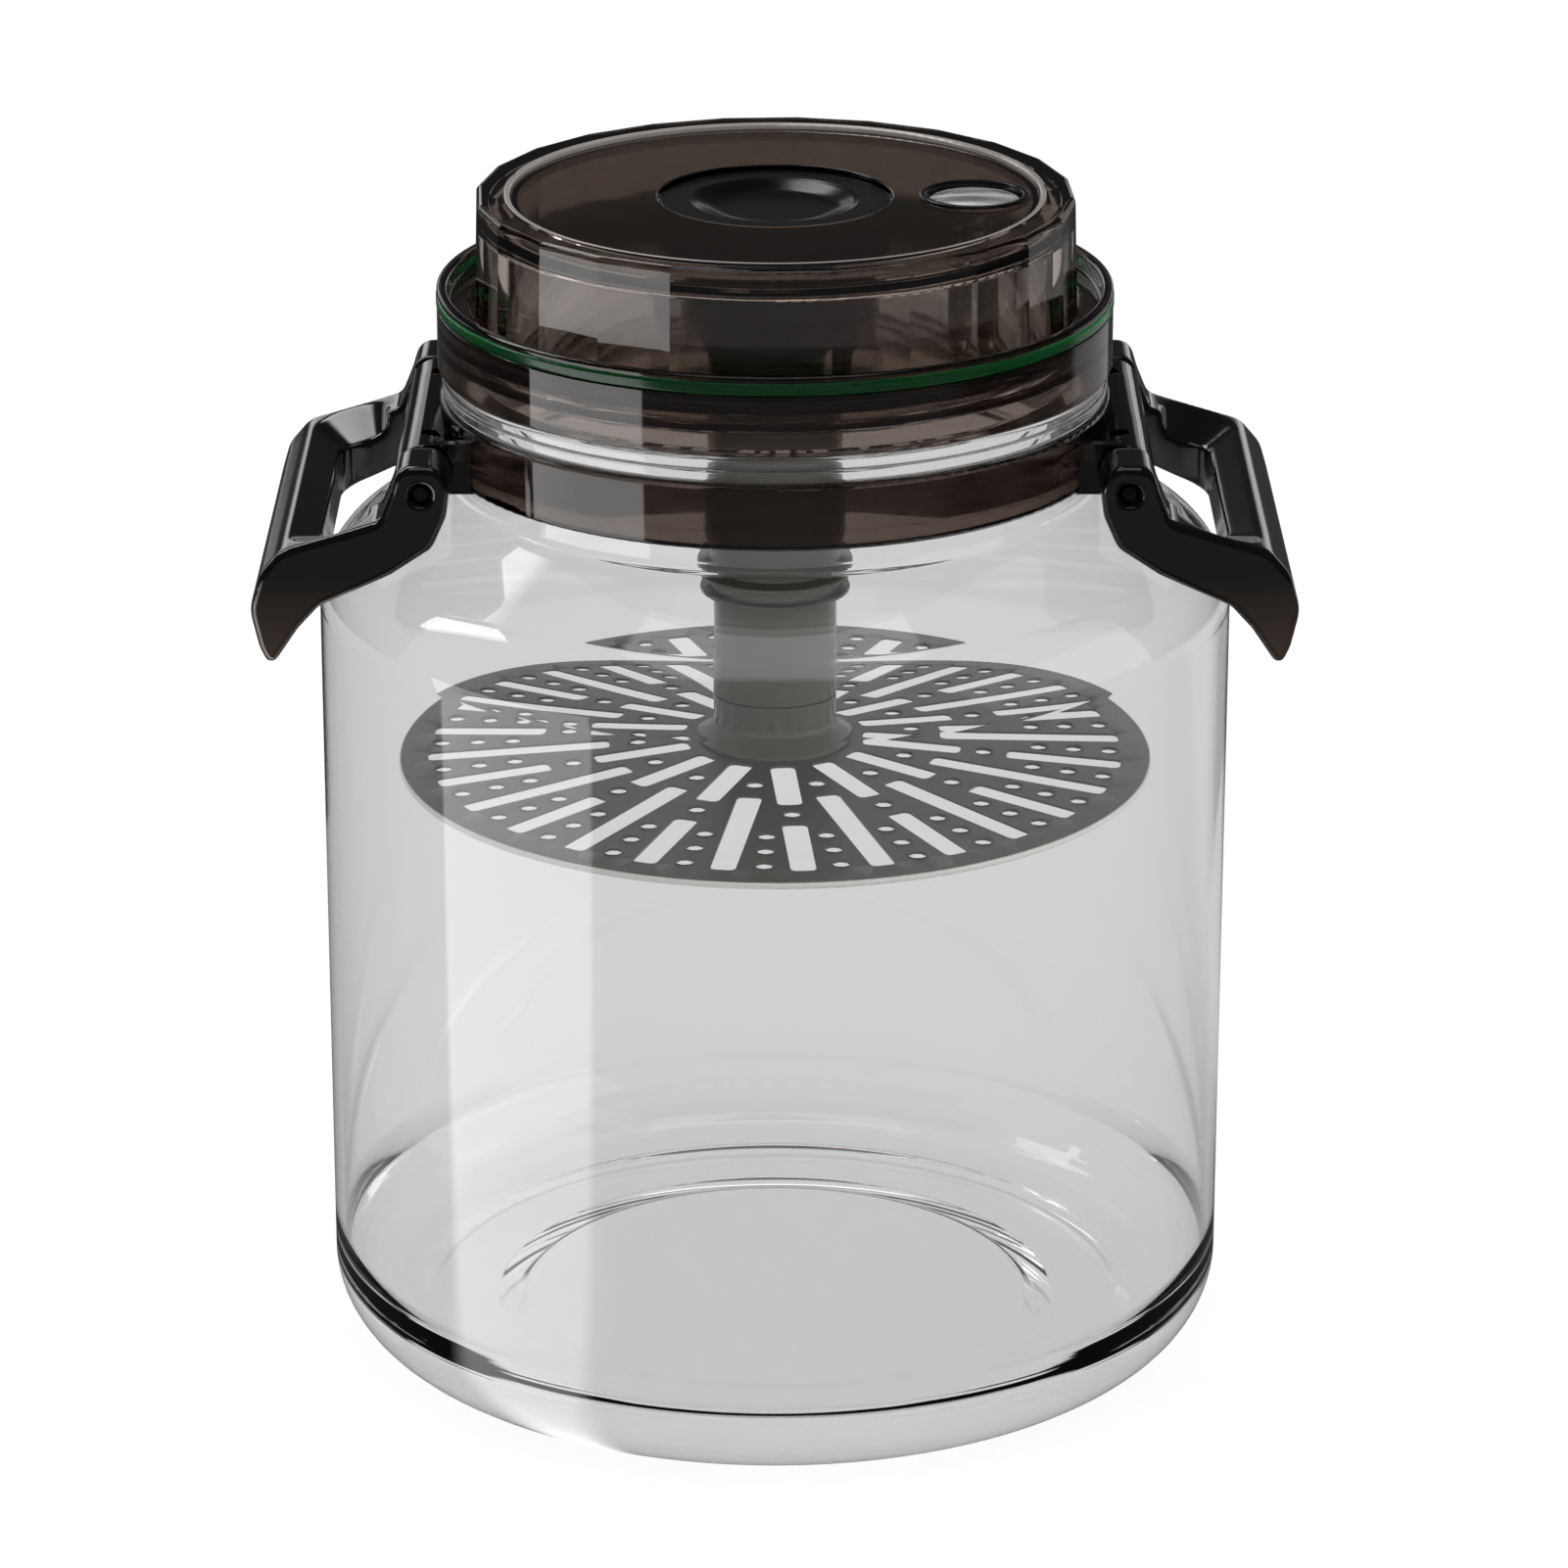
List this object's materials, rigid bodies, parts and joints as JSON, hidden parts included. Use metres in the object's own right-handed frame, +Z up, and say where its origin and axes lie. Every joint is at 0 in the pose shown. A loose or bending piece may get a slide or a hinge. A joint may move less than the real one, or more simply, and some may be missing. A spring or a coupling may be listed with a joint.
{
  "type": "pickle keeper",
  "caption": "Glass pickle jar with a vacuum-pump screw lid, two bail handles on a neck collar and a slotted strainer plate on a telescoping stem.",
  "frame": {"origin": "centre of the jar's base, on the surface it stands on", "axes": "+Z up along the jar's axis, +X towards the right-hand handle and the release button's side, -Y towards the viewer"},
  "size_m": [0.2232, 0.2, 0.262],
  "materials": {
    "clear_glass": "clear pressed glass, polished",
    "smoked_plastic": "see-through smoked brown moulding, glossy",
    "dark_smoked_plastic": "deep smoked moulding, almost black, glossy",
    "panel_trim_plastic": "pale smoked bead, glossy",
    "black_plastic": "black moulding, glossy",
    "grey_plastic": "warm grey moulding, satin",
    "green_silicone": "deep green silicone, slightly glossy",
    "clear_silicone": "milky silicone",
    "black_rubber": "black rubber",
    "silvered_plastic": "silvered, finely brushed",
    "steel": "drawn stainless wire",
    "black_steel": "blackened steel rod"
  },
  "bodies": {
    "jar": {"jar_body": "clear_glass", "jar_shoulder": "clear_glass", "jar_neck": "clear_glass", "handle_collar": "smoked_plastic", "left_hinge_pin": "black_steel", "right_hinge_pin": "black_steel"},
    "right_handle": {"right_handle": "dark_smoked_plastic"},
    "left_handle": {"left_handle": "dark_smoked_plastic"},
    "lid": {"lid_base": "smoked_plastic", "mouth_gasket": "clear_silicone", "pump_housing": "smoked_plastic", "panel_trim": "panel_trim_plastic", "top_panel": "smoked_plastic", "pump_cylinder": "black_plastic", "pump_spring": "steel", "check_valve": "clear_silicone", "release_bezel": "black_plastic", "release_spring": "steel", "stem_sleeve": "grey_plastic"},
    "screw_ring": {"screw_ring": "smoked_plastic", "green_seal_ring": "green_silicone"},
    "pump_button": {"pump_button": "black_plastic", "pump_piston": "black_plastic", "piston_seal": "black_rubber"},
    "release_button": {"release_button": "silvered_plastic", "release_seal": "clear_silicone"},
    "stem_tube": {"stem_tube": "grey_plastic"},
    "strainer": {"strainer_hub": "grey_plastic", "strainer_plate": "grey_plastic"}
  },
  "joints": [
    {"name": "lid_lift", "type": "slide", "parent": "jar", "child": "lid", "axis": [0, 0, 1], "range_m": [0, 0.14]},
    {"name": "ring_turn", "type": "hinge", "parent": "lid", "child": "screw_ring", "pos_m": [0, 0, 0.232], "axis": [0, 0, 1], "continuous": true},
    {"name": "pump_press", "type": "slide", "parent": "lid", "child": "pump_button", "axis": [0, 0, -1], "range_m": [0, 0.007], "stiffness_N_per_m": 600, "springref_m": -0.005, "deforming": ["pump_spring"]},
    {"name": "release_press", "type": "slide", "parent": "lid", "child": "release_button", "axis": [0, 0, -1], "range_m": [0, 0.0025], "stiffness_N_per_m": 400, "springref_m": -0.003, "deforming": ["release_spring"]},
    {"name": "right_handle_swing", "type": "hinge", "parent": "jar", "child": "right_handle", "pos_m": [0.075, 0, 0.2085], "axis": [0, -1, 0], "range_deg": [0, 100]},
    {"name": "left_handle_swing", "type": "hinge", "parent": "jar", "child": "left_handle", "pos_m": [-0.075, 0, 0.2085], "axis": [0, 1, 0], "range_deg": [0, 100]},
    {"name": "strainer_press", "type": "slide", "parent": "jar", "child": "strainer", "axis": [0, 0, -1], "range_m": [0, 0.08]},
    {"name": "stem_tube_slide", "type": "slide", "parent": "lid", "child": "stem_tube", "axis": [0, 0, -1], "range_m": [0, 0.03]}
  ],
  "couplings": [
    {"joint": "stem_tube_slide", "follows": "strainer_press", "ratio": 0.375}
  ]
}
